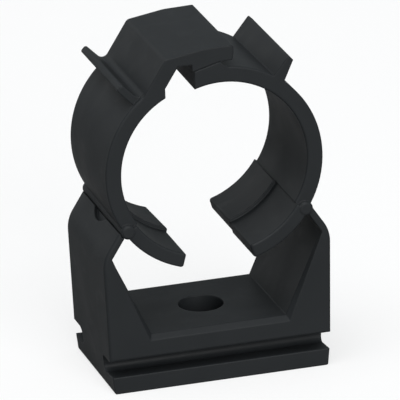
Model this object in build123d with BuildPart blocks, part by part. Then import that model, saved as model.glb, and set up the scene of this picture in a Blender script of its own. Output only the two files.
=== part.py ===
from build123d import *
import os
from math import cos, hypot, radians, sin, tan

# A snap-closing plastic pipe clip on a rail foot: a base and two jaws that swing about the base's two shoulders.
# Sizes are in mm. X runs across the clip, Y along the pipe, Z up, and the origin is under the foot's middle.

# Pipe seat and jaws
pipe_diameter = 25.0
pipe_grip = 0.1              # how much smaller in radius than the pipe each relaxed jaw is
seat_height = 31.75          # middle of the pipe above the underside of the foot
jaw_spread = 1.22            # how far each relaxed jaw's own centre stands out from the middle
jaw_wall = 2.04
jaw_depth = 19.1
jaw_draft = 0.75             # degrees by which the jaws' walls thin towards the back, for the mould
jaw_edge_round = 0.25

# Tongues, below the hinges
tongue_depth = 20.1          # a little more than the jaws' own depth, front and back
tongue_offset = 0.14         # how far the tongue's wall stands outside the jaw's
tongue_tip_angle = -74.3     # all jaw angles are seen from the jaw's centre, 0 pointing outwards, 90 up
tongue_step = 0.5            # how much further in the tongue's wall stands just behind the middle
tongue_step_taper = 0.3      # how much of that its inner face loses towards the back
tongue_tip_round = 0.4

# Hinges at the necks
hinge_angle = -33.6
hinge_offset = 1.62          # from the inner face of the jaw to the hinge's axis
barrel_radius = 1.05
barrel_end_rise = 0.1        # how far each end of the barrel stands out past the tongue
barrel_bevel = 0.25
hinge_clearance = 0.05
cup_start_angle = -14.0
cup_end_angle = -62.0

# Foot and its two rail grooves
base_depth = 19.0
foot_thickness = 2.3
foot_setback = 0.3           # how far the foot's upper edge stands in from the body's lower edge, on each side
foot_taper = 0.25            # how far the foot's underside stands in from its upper edge, on each side
foot_edge_round = 0.3
groove_height = 2.5
groove_depth = 4.1
groove_corner_round = 0.9
groove_lip_rise = 0.15

# Body of the base and its shoulders
floor_height = 8.1
shoulder_overhang = 3.7      # from the hinge's axis out to the body's side, below the shoulder
side_draft = 1.55            # degrees by which the body narrows downwards
body_edge_round = 0.4
upright_root_thickness = 6.35
upright_top_thickness = 1.27
rim_bevel = 0.75
elbow_drop = 3.9             # from the hinge's axis down to the elbow on the inside
arm_thickness = 1.0
shoulder_round = 5.0
notch_width = 5.9            # shallow round notch in the lip of each cup, half way along the hinge
notch_drop = 1.1
notch_depth = 0.5
screw_hole_diameter = 6.5

# Latch: the nose on the right jaw's end and the cover on the left jaw that laps over it
right_jaw_end_angle = 112.0
nose_rise = 0.91             # how far the nose's peak stands above the jaw's outer face
nose_reach = 2.45            # how far the nose passes the middle
nose_peak_offset = 1.25
nose_drop = 1.0              # how much lower the nose's end is than its peak
nose_ramp_length = 1.05
nose_ramp_drop = 0.85
latch_gap = 0.06
left_jaw_end_angle = 63.5
left_end_rise = 1.32         # height of the left jaw's end face
cover_wall = 2.15
cover_slope_angle = 56.8
cover_foot_angle = 50.8
cover_foot_sink = 0.18       # how far the slope's foot lies within the jaw's outer face
cover_reach = 3.15           # how far the cover passes the middle
cover_crown = 0.95           # how much higher the cover's crown is than its outer bend
tooth_width = 0.3            # how far the cover's tooth passes the nose's end

# Thumb fin on the left jaw and release tab on the right jaw
fin_angle = 46.0
fin_length = 3.8
fin_lean = 46.6
fin_tip_thickness = 1.1
fin_tip_lean = 131.0
fin_setback = 0.6            # how far the fin stands back from the jaw's front
tab_inner_angle = 57.9
tab_outer_angle = 50.0
tab_length = 4.05
tab_lean = 50.3
tab_tip_thickness = 0.9
tab_tip_lean = -44.0

# Worked out from the sizes above
inner_radius = pipe_diameter / 2 - pipe_grip
outer_radius = inner_radius + jaw_wall
cup_radius = barrel_radius + hinge_clearance
groove_top = foot_thickness + groove_height
jaw_front_growth = jaw_depth / 2 * tan(radians(jaw_draft))
barrel_length = tongue_depth + 2 * barrel_end_rise
notch_radius = (notch_width ** 2 / 4 + notch_drop ** 2) / (2 * notch_drop)
tips_below = seat_height + (inner_radius - tongue_step) * sin(radians(tongue_tip_angle + 4))


def moved(point, distance, angle):
    """Point at a distance and an angle from another point."""
    return (point[0] + distance * cos(radians(angle)), point[1] + distance * sin(radians(angle)))


def side_plane(side):
    """Upright plane across the clip whose x points outwards on the given side: 1 is right, -1 is left."""
    return Plane(origin=(0, 0, 0), x_dir=(side, 0, 0), z_dir=(0, -side, 0))


def section_plane(side, angle):
    """Plane through a jaw's own centre line at an angle, with x away from the line and y to the back."""
    outwards = (side * cos(radians(angle)), 0, sin(radians(angle)))
    return Plane(
        origin=(side * jaw_spread, 0, seat_height),
        x_dir=outwards,
        z_dir=(-outwards[2], 0, outwards[0]),
    )


def jaw_axis(side):
    """Centre line of a jaw, about which a positive turn goes from outwards to up."""
    return Axis((side * jaw_spread, 0, seat_height), (0, -side, 0))


def wall_section(inner, outer, depth, front_growth, corner_round):
    """Section across a curved wall, thicker at the front by the growth on each face, with rounded corners."""
    with BuildLine() as rim:
        Polyline(
            (inner - front_growth, -depth / 2),
            (outer + front_growth, -depth / 2),
            (outer - front_growth, depth / 2),
            (inner + front_growth, depth / 2),
            close=True,
        )
    section = make_face(rim.edges())
    fillet(section.vertices(), radius=corner_round)


def tongue_section(inner, outer):
    """Section across a tongue, which steps in behind the middle, with rounded corners at the front and back."""
    with BuildLine() as rim:
        Polyline(
            (inner, 0),
            (inner, -tongue_depth / 2),
            (outer, -tongue_depth / 2),
            (outer, 0),
            (outer - tongue_step, 0),
            (outer - tongue_step, tongue_depth / 2),
            (inner - tongue_step + tongue_step_taper, tongue_depth / 2),
            (inner - tongue_step, 0),
            close=True,
        )
    section = make_face(rim.edges())
    end_corners = section.vertices().filter_by(lambda corner: abs(corner.Y) > tongue_depth / 4)
    fillet(end_corners, radius=jaw_edge_round)


def outline(points, radii):
    """Closed face from corner points, each corner with its own radius."""
    with BuildLine() as rim:
        FilletPolyline(*points, radius=radii, close=True)
    make_face(rim.edges())


jaw_centre = (jaw_spread, seat_height)
hinge_centre = moved(jaw_centre, inner_radius + hinge_offset, hinge_angle)


# Base: foot with its two rail grooves, floor with the screw hole, uprights and shoulders

body_high_width = hinge_centre[0] + shoulder_overhang
elbow = (body_high_width - upright_top_thickness, hinge_centre[1] - elbow_drop)
cup_start = moved(hinge_centre, cup_radius, cup_start_angle)
cup_end = moved(hinge_centre, cup_radius, cup_end_angle)
arm_run = hypot(cup_end[0] - elbow[0], cup_end[1] - elbow[1])
arm_slope = (cup_end[0] - elbow[0]) / (cup_end[1] - elbow[1])
arm_outer = (
    elbow[0] + arm_thickness * (cup_end[1] - elbow[1]) / arm_run,
    elbow[1] + arm_thickness * (elbow[0] - cup_end[0]) / arm_run,
)
shoulder = (body_high_width, arm_outer[1] + (body_high_width - arm_outer[0]) / arm_slope)
lip_top = (arm_outer[0] + arm_slope * (cup_start[1] - arm_outer[1]), cup_start[1])
body_low_width = body_high_width - (shoulder[1] - groove_top) * tan(radians(side_draft))
foot_top_width = body_low_width - foot_setback
floor_corner = (body_low_width - upright_root_thickness, floor_height)


def shoulder_plane(side):
    """Plane on a shoulder's slope, from the middle of its lip, with x running down the slope."""
    run = (shoulder[0] - lip_top[0], shoulder[1] - lip_top[1])
    return Plane(
        origin=(side * lip_top[0], 0, lip_top[1]),
        x_dir=(side * run[0], 0, run[1]),
        z_dir=(-side * run[1], 0, run[0]),
    )


with BuildPart() as base:
    with BuildSketch(Plane.XZ):
        with BuildLine():
            FilletPolyline(
                (0, 0),
                (foot_top_width - foot_taper, 0),
                (foot_top_width, foot_thickness),
                (body_low_width, groove_top),
                shoulder,
                lip_top,
                radius=(foot_edge_round, 0, 0, shoulder_round),
            )
            Line(lip_top, cup_start)
            CenterArc(hinge_centre, cup_radius, cup_start_angle, cup_end_angle - cup_start_angle)
            Polyline(cup_end, elbow, floor_corner, (0, floor_height), (0, 0))
        make_face()
        mirror(about=Plane.YZ)
    extrude(amount=base_depth / 2, both=True)

    # Grooves for the rail's lips, along the front and the back
    with BuildSketch(Plane.YZ):
        groove_root = base_depth / 2 - groove_depth
        outline(
            [
                (base_depth, foot_thickness + groove_lip_rise),
                (base_depth, groove_top),
                (groove_root, groove_top),
                (groove_root, foot_thickness - groove_lip_rise),
                (base_depth / 2, foot_thickness + groove_lip_rise),
            ],
            [0, 0, groove_corner_round, groove_corner_round, 0],
        )
        mirror(about=Plane.YZ)
    extrude(amount=body_high_width * 2, both=True, mode=Mode.SUBTRACT)

    # Rounded edges of the body: its lower edge over each groove, and its sides at the front and the back
    body_face_edges = base.edges().filter_by(lambda edge: abs(abs(edge.center().Y) - base_depth / 2) < 0.01)
    lower_edges = body_face_edges.filter_by(Axis.X).filter_by(
        lambda edge: abs(edge.center().Z - groove_top) < 0.01
    )
    side_edges = body_face_edges.filter_by(
        lambda edge: edge.center().Z > groove_top + 1
        and abs(edge.center().X) > elbow[0] - 0.3
        and edge.length > 1.2
    )
    fillet(lower_edges + side_edges, radius=body_edge_round)

    # Bevels along the front and back rims of the space between the uprights, which run out at the elbows
    with BuildSketch(Plane.XZ.offset(base_depth / 2)):
        Polygon(
            (-elbow[0], elbow[1]),
            (elbow[0], elbow[1]),
            (floor_corner[0] + rim_bevel / 2, floor_height - rim_bevel),
            (-floor_corner[0] - rim_bevel / 2, floor_height - rim_bevel),
            align=None,
        )
    with BuildSketch(Plane.XZ.offset(base_depth / 2 - rim_bevel)):
        Polygon(
            (-elbow[0], elbow[1]),
            (elbow[0], elbow[1]),
            floor_corner,
            (-floor_corner[0], floor_height),
            align=None,
        )
    rim_cut = loft(mode=Mode.PRIVATE)
    add(rim_cut, mode=Mode.SUBTRACT)
    mirror(rim_cut, about=Plane.XZ, mode=Mode.SUBTRACT)

    # Round notch in the lip of each cup
    for side in (1, -1):
        with BuildSketch(shoulder_plane(side)):
            with Locations((notch_drop - notch_radius, 0)):
                Circle(notch_radius)
        extrude(amount=-notch_depth, mode=Mode.SUBTRACT)

    with Locations((0, 0, floor_height)):
        Hole(radius=screw_hole_diameter / 2, depth=floor_height)

base.part.label = "base"


# Latch corners, seen from the side where they stand: x outwards

nose_top = seat_height + outer_radius + nose_rise
nose_end = (-nose_reach, nose_top - nose_drop)
nose_slope = nose_drop / (nose_reach + nose_peak_offset)
ramp_foot = (nose_peak_offset + nose_ramp_length, nose_top - nose_ramp_drop)

cover_foot = moved(jaw_centre, outer_radius - cover_foot_sink, cover_foot_angle)
cover_run = 1 / tan(radians(cover_slope_angle))
slope_shift = cover_wall / sin(radians(cover_slope_angle))
underside = nose_top + latch_gap
crown_height = underside + cover_wall
bend_height = crown_height - cover_crown
outer_bend = (cover_foot[0] - cover_run * (bend_height - cover_foot[1]), bend_height)
inner_bend = (cover_foot[0] - slope_shift - cover_run * (underside - cover_foot[1]), underside)
left_end = moved(jaw_centre, inner_radius, left_jaw_end_angle)
left_end_top = (
    cover_foot[0] - slope_shift - cover_run * (left_end[1] + left_end_rise - cover_foot[1]),
    left_end[1] + left_end_rise,
)
tooth_tip = (nose_reach + tooth_width, nose_end[1] + latch_gap - nose_slope * tooth_width)


# Left jaw: curved wall, tongue, hinge barrel, latch cover and thumb fin

with BuildPart() as left_jaw:
    with BuildSketch(side_plane(-1)):
        with Locations(hinge_centre):
            Circle(barrel_radius)
    extrude(amount=barrel_length / 2, both=True)
    chamfer(left_jaw.edges().filter_by(GeomType.CIRCLE), length=barrel_bevel)

    fin_root = moved(jaw_centre, outer_radius - jaw_wall / 4, fin_angle)
    fin_tip = moved(fin_root, fin_length, fin_lean)
    with BuildSketch(side_plane(-1)):
        outline(
            [
                fin_root,
                fin_tip,
                moved(fin_tip, fin_tip_thickness, fin_tip_lean),
                cover_foot,
                outer_bend,
                (nose_peak_offset, crown_height - 0.12),
                (-cover_reach - 0.1, crown_height),
                (-cover_reach - 0.1, crown_height - cover_wall / 2),
                (-cover_reach + 0.1, underside),
                (-nose_peak_offset, underside),
                tooth_tip,
                (tooth_tip[0], underside),
                inner_bend,
                left_end_top,
                left_end,
            ],
            [0, 0.3, 0.4, 0.9, 0.9, 6, 0.35, 0.3, 0.2, 0, 0.1, 0, 0.2, 0, 0],
        )
    extrude(amount=jaw_depth / 2, both=True)

    # The fin's front end stands back from the jaw's front face
    with BuildSketch(side_plane(-1).offset(-jaw_depth / 2)):
        Polygon(
            cover_foot,
            moved(cover_foot, fin_length, 180 - cover_slope_angle),
            moved(fin_tip, fin_length, fin_lean),
            moved(fin_root, fin_tip_thickness, fin_lean - 90),
            align=None,
        )
    extrude(amount=fin_setback, mode=Mode.SUBTRACT)

    with BuildSketch(section_plane(-1, hinge_angle)):
        wall_section(inner_radius, outer_radius, jaw_depth, jaw_front_growth, jaw_edge_round)
    revolve(axis=jaw_axis(-1), revolution_arc=left_jaw_end_angle - hinge_angle)

    with BuildSketch(section_plane(-1, tongue_tip_angle)):
        tongue_section(inner_radius + tongue_offset, outer_radius + tongue_offset)
    revolve(axis=jaw_axis(-1), revolution_arc=hinge_angle - tongue_tip_angle)
    tip_edges = left_jaw.edges().filter_by(Axis.Y).filter_by(lambda edge: edge.center().Z < tips_below)
    fillet(tip_edges, radius=tongue_tip_round)

left_jaw.part.label = "left_jaw"


# Right jaw: curved wall, tongue, hinge barrel, latch nose and release tab

with BuildPart() as right_jaw:
    with BuildSketch(side_plane(1)):
        with Locations(hinge_centre):
            Circle(barrel_radius)
    extrude(amount=barrel_length / 2, both=True)
    chamfer(right_jaw.edges().filter_by(GeomType.CIRCLE), length=barrel_bevel)

    with BuildSketch(section_plane(1, hinge_angle)):
        wall_section(inner_radius, outer_radius, jaw_depth, jaw_front_growth, jaw_edge_round)
    revolve(axis=jaw_axis(1), revolution_arc=right_jaw_end_angle - hinge_angle)

    with BuildSketch(section_plane(1, tongue_tip_angle)):
        tongue_section(inner_radius + tongue_offset, outer_radius + tongue_offset)
    revolve(axis=jaw_axis(1), revolution_arc=hinge_angle - tongue_tip_angle)
    tip_edges = right_jaw.edges().filter_by(Axis.Y).filter_by(lambda edge: edge.center().Z < tips_below)
    fillet(tip_edges, radius=tongue_tip_round)

    tab_root = moved(jaw_centre, outer_radius - jaw_wall / 4, tab_inner_angle)
    tab_tip = moved(tab_root, tab_length, tab_lean)
    with BuildSketch(side_plane(1)):
        outline(
            [
                (-nose_reach * 2, seat_height + outer_radius - jaw_wall),
                (-nose_reach * 2, nose_top - nose_slope * (nose_reach * 2 + nose_peak_offset)),
                (nose_peak_offset, nose_top),
                ramp_foot,
                moved(jaw_centre, outer_radius - jaw_wall / 4, 80),
            ],
            [0, 0, 0.15, 0.4, 0],
        )
        outline(
            [
                tab_root,
                tab_tip,
                moved(tab_tip, tab_tip_thickness, tab_tip_lean),
                moved(jaw_centre, outer_radius - jaw_wall / 4, tab_outer_angle),
            ],
            [0, 0.2, 0.2, 0],
        )
    extrude(amount=jaw_depth / 2, both=True)

    # Upright end face of the nose
    with BuildSketch(side_plane(1)):
        with Locations((-nose_reach, seat_height)):
            Rectangle(outer_radius, outer_radius * 2, align=(Align.MAX, Align.MIN))
    extrude(amount=jaw_depth, both=True, mode=Mode.SUBTRACT)

right_jaw.part.label = "right_jaw"


os.makedirs("parts", exist_ok=True)
export_step(base.part, "parts/base.step")
export_step(left_jaw.part, "parts/left_jaw.step")
export_step(right_jaw.part, "parts/right_jaw.step")
print("hinge axis at x and z:", round(hinge_centre[0], 4), round(hinge_centre[1], 4))
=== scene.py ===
import bpy
from mathutils import Matrix, Vector

# A black moulded pipe clip: a base on a rail foot and two jaws that close round a pipe.

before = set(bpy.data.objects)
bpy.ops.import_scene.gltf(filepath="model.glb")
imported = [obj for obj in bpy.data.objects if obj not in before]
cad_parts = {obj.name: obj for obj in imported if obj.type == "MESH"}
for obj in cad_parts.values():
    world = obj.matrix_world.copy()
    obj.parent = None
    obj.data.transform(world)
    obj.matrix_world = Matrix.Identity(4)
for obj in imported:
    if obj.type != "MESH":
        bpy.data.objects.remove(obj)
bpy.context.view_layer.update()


# Node helpers

def link(tree, source, target):
    """Join an output socket to an input socket."""
    tree.links.new(source, target)


def add_node(tree, kind, x, y, **values):
    """Add a node at a place in the tree and set its input values."""
    node = tree.nodes.new(kind)
    node.location = (x, y)
    for name, value in values.items():
        node.inputs[name.replace("_", " ")].default_value = value
    return node


def add_math(tree, operation, x, y, first, second):
    """Add a math node that works on a socket and a second socket or number."""
    node = add_node(tree, "ShaderNodeMath", x, y)
    node.operation = operation
    link(tree, first, node.inputs[0])
    if isinstance(second, (int, float)):
        node.inputs[1].default_value = second
    else:
        link(tree, second, node.inputs[1])
    return node.outputs["Value"]


def add_noise(tree, x, y, place, scale, **values):
    """Add a noise texture whose place and scale come from sockets."""
    noise = add_node(tree, "ShaderNodeTexNoise", x, y, **values)
    link(tree, place, noise.inputs["Vector"])
    link(tree, scale, noise.inputs["Scale"])
    return noise.outputs["Fac"]


def add_colour_mix(tree, x, y, first, second, share):
    """Add a mix of two colours, by a socket that gives the share of the second."""
    mix = add_node(tree, "ShaderNodeMix", x, y)
    mix.data_type = "RGBA"
    mix.inputs["A"].default_value = first
    mix.inputs["B"].default_value = second
    link(tree, share, mix.inputs["Factor"])
    return mix.outputs["Result"]


def add_shader_mix(tree, x, y, first, second, share):
    """Add a mix of two shaders, by a socket that gives the share of the second."""
    mix = add_node(tree, "ShaderNodeMixShader", x, y)
    link(tree, share, mix.inputs["Fac"])
    link(tree, first, mix.inputs[1])
    link(tree, second, mix.inputs[2])
    return mix.outputs["Shader"]


# Black plastic with the fine matt skin that a spark-eroded mould leaves

GRAIN_PER_METRE = 5200.0
COARSE_GRAIN_RATIO = 0.28
FLOW_PER_METRE = 95.0
RUBBED_RATIO = 3.4
GRAIN_STRENGTH = 0.14
GRAIN_DEPTH = 0.00002
EDGE_ROUND = 0.00028
EDGE_SAMPLES = 8
DARK_PLASTIC = (0.0147, 0.0166, 0.0181, 1)
PALE_PLASTIC = (0.0197, 0.0219, 0.0237, 1)
SPECULAR_LEVEL = 0.19
SATIN_ROUGHNESS = 0.47
MATT_ROUGHNESS = 0.58
RUBBED_POLISH = 0.05


def moulded_skin_group():
    """Shared effect: mould grain as a height, and masks for the plastic's flow and for rubbed spots."""
    tree = bpy.data.node_groups.new("moulded skin", "ShaderNodeTree")
    for name in ("Grain Size", "Flow Size"):
        tree.interface.new_socket(name, in_out="INPUT", socket_type="NodeSocketFloat")
    for name in ("Height", "Flow", "Rubbed"):
        tree.interface.new_socket(name, in_out="OUTPUT", socket_type="NodeSocketFloat")
    group_in = add_node(tree, "NodeGroupInput", -1000, 0)
    group_out = add_node(tree, "NodeGroupOutput", 700, 0)
    grain_size = group_in.outputs["Grain Size"]
    flow_size = group_in.outputs["Flow Size"]
    place = add_node(tree, "ShaderNodeTexCoord", -1000, 300).outputs["Object"]
    grain = add_noise(tree, -500, 300, place, grain_size, Detail=3.0, Roughness=0.6)
    coarse_size = add_math(tree, "MULTIPLY", -750, 60, grain_size, COARSE_GRAIN_RATIO)
    coarse = add_noise(tree, -500, 60, place, coarse_size, Detail=1.0, Roughness=0.5)
    height = add_math(tree, "ADD", 0, 200, grain, coarse)
    flow = add_noise(tree, -500, -180, place, flow_size, Detail=2.5, Roughness=0.55, Distortion=0.5)
    rub_size = add_math(tree, "MULTIPLY", -750, -420, flow_size, RUBBED_RATIO)
    rub = add_noise(tree, -500, -420, place, rub_size, Detail=4.0, Roughness=0.6, Distortion=0.2)
    spots = add_node(tree, "ShaderNodeMapRange", -200, -420, From_Min=0.56, From_Max=0.74)
    link(tree, rub, spots.inputs["Value"])
    link(tree, height, group_out.inputs["Height"])
    link(tree, flow, group_out.inputs["Flow"])
    link(tree, spots.outputs["Result"], group_out.inputs["Rubbed"])
    return tree


def black_plastic():
    """Near-black plastic, slightly blue, satin to matt, with its edges a little rounded."""
    material = bpy.data.materials.new("black plastic")
    material.use_nodes = True
    tree = material.node_tree
    shader = tree.nodes["Principled BSDF"]
    shader.inputs["Specular IOR Level"].default_value = SPECULAR_LEVEL
    skin = add_node(tree, "ShaderNodeGroup", -1000, 0)
    skin.node_tree = moulded_skin_group()
    skin.inputs["Grain Size"].default_value = GRAIN_PER_METRE
    skin.inputs["Flow Size"].default_value = FLOW_PER_METRE
    flow = skin.outputs["Flow"]
    colour = add_colour_mix(tree, -350, 300, DARK_PLASTIC, PALE_PLASTIC, flow)
    link(tree, colour, shader.inputs["Base Color"])
    matt = add_node(tree, "ShaderNodeMapRange", -700, 50, From_Min=0.3, From_Max=0.7,
                    To_Min=SATIN_ROUGHNESS, To_Max=MATT_ROUGHNESS)
    link(tree, flow, matt.inputs["Value"])
    polish = add_math(tree, "MULTIPLY", -700, -200, skin.outputs["Rubbed"], RUBBED_POLISH)
    roughness = add_math(tree, "SUBTRACT", -350, 0, matt.outputs["Result"], polish)
    link(tree, roughness, shader.inputs["Roughness"])
    edge = add_node(tree, "ShaderNodeBevel", -700, -450, Radius=EDGE_ROUND)
    edge.samples = EDGE_SAMPLES
    bump = add_node(tree, "ShaderNodeBump", -350, -350, Strength=GRAIN_STRENGTH, Distance=GRAIN_DEPTH)
    link(tree, skin.outputs["Height"], bump.inputs["Height"])
    link(tree, edge.outputs["Normal"], bump.inputs["Normal"])
    link(tree, bump.outputs["Normal"], shader.inputs["Normal"])
    return material


plastic = black_plastic()
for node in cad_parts.values():
    for slot in node.material_slots:
        slot.material = plastic


# Floor, white surroundings and soft studio light

WHITE = (1, 1, 1, 1)
SURROUND_LIGHT = 0.34
SURROUND_TINT = (0.90, 0.97, 1.0, 1)
FLOOR_SHADE = (0.30, 0.30, 0.30, 1)
FLOOR_GLOW = 0.7
FLOOR_GAP = 0.00004
FLOOR_WIDTH = 6.0
LAMP_AIM = (0, 0, 0.02)


def white_surroundings():
    """The world: a low even light on the clip, faintly cool, and plain white for the camera.

    The clip is matt all over, with no glass or metal that would mirror the background, so only
    the camera's rays see the white.
    """
    world = bpy.data.worlds.new("studio")
    bpy.context.scene.world = world
    world.use_nodes = True
    tree = world.node_tree
    tree.nodes.clear()
    out = add_node(tree, "ShaderNodeOutputWorld", 400, 0)
    soft = add_node(tree, "ShaderNodeBackground", 0, 100, Color=SURROUND_TINT, Strength=SURROUND_LIGHT)
    white = add_node(tree, "ShaderNodeBackground", 0, -100, Color=WHITE, Strength=1.0)
    camera_ray = add_node(tree, "ShaderNodeLightPath", 0, 400).outputs["Is Camera Ray"]
    seen = add_shader_mix(tree, 200, 0, soft.outputs["Background"],
                          white.outputs["Background"], camera_ray)
    link(tree, seen, out.inputs["Surface"])


def soft_lamp(name, place, size, power):
    """A large square lamp that faces the clip, with its side in metres and its power in watts."""
    lamp = bpy.data.lights.new(name, "AREA")
    lamp.shape = "SQUARE"
    lamp.size = size
    lamp.energy = power
    holder = bpy.data.objects.new(name, lamp)
    bpy.context.scene.collection.objects.link(holder)
    holder.location = place
    aim = Vector(LAMP_AIM) - Vector(place)
    holder.rotation_euler = aim.to_track_quat("-Z", "Y").to_euler()


def floor_material():
    """Matt paper, grey as it lights the clip from below and white to the camera, with a soft shadow."""
    material = bpy.data.materials.new("matt floor paper")
    material.use_nodes = True
    tree = material.node_tree
    out = tree.nodes["Material Output"]
    out.location = (700, 300)
    shader = tree.nodes["Principled BSDF"]
    shader.inputs["Roughness"].default_value = 1.0
    shader.inputs["Specular IOR Level"].default_value = 0.0
    camera_ray = add_node(tree, "ShaderNodeLightPath", -700, 300).outputs["Is Camera Ray"]
    paper = add_colour_mix(tree, -350, 200, FLOOR_SHADE, WHITE, camera_ray)
    link(tree, paper, shader.inputs["Base Color"])
    white = add_node(tree, "ShaderNodeEmission", 0, 600, Color=WHITE, Strength=1.0)
    glow = add_math(tree, "MULTIPLY", 0, 450, camera_ray, FLOOR_GLOW)
    seen = add_shader_mix(tree, 450, 300, shader.outputs["BSDF"], white.outputs["Emission"], glow)
    link(tree, seen, out.inputs["Surface"])
    return material


def pale_floor():
    """A wide floor, a hair below the foot so that the two faces never share a plane."""
    bpy.ops.mesh.primitive_plane_add(size=FLOOR_WIDTH, location=(0, 0, -FLOOR_GAP))
    floor = bpy.context.object
    floor.name = "floor"
    floor.data.materials.append(floor_material())


white_surroundings()
soft_lamp("overhead lamp", place=(-0.4, -0.2, 1.4), size=0.8, power=8.8)
soft_lamp("front lamp", place=(0.1, -1.4, 0.5), size=0.8, power=11.6)
soft_lamp("top front lamp", place=(0.0, -0.9, 1.1), size=0.8, power=3.8)
soft_lamp("backdrop lamp", place=(-0.4, 1.4, 0.28), size=1.0, power=1.2)
pale_floor()


# Camera at the photograph's angle

SENSOR_WIDTH = 36.0
FOCAL_LENGTH = 639.76
NEAREST = 0.05
FARTHEST = 20.0
CAMERA_PLACE = (-0.25887, -0.90296, 0.36629)
CAMERA_RIGHT = (0.9572, -0.2876, -0.0336)
CAMERA_UP = (0.1289, 0.3193, 0.9389)
CAMERA_FORWARD = (0.2593, 0.9030, -0.3427)


def photograph_camera():
    """A long lens a metre away, in front, above and to the left of the clip."""
    lens = bpy.data.cameras.new("camera")
    lens.sensor_width = SENSOR_WIDTH
    lens.lens = FOCAL_LENGTH
    lens.clip_start = NEAREST
    lens.clip_end = FARTHEST
    camera = bpy.data.objects.new("camera", lens)
    bpy.context.scene.collection.objects.link(camera)
    right = Vector(CAMERA_RIGHT)
    up = Vector(CAMERA_UP)
    forward = Vector(CAMERA_FORWARD)
    turn = Matrix((right, up, -forward)).transposed().to_4x4()
    camera.matrix_world = Matrix.Translation(CAMERA_PLACE) @ turn
    bpy.context.scene.camera = camera


photograph_camera()
bpy.context.scene.view_settings.view_transform = "Standard"
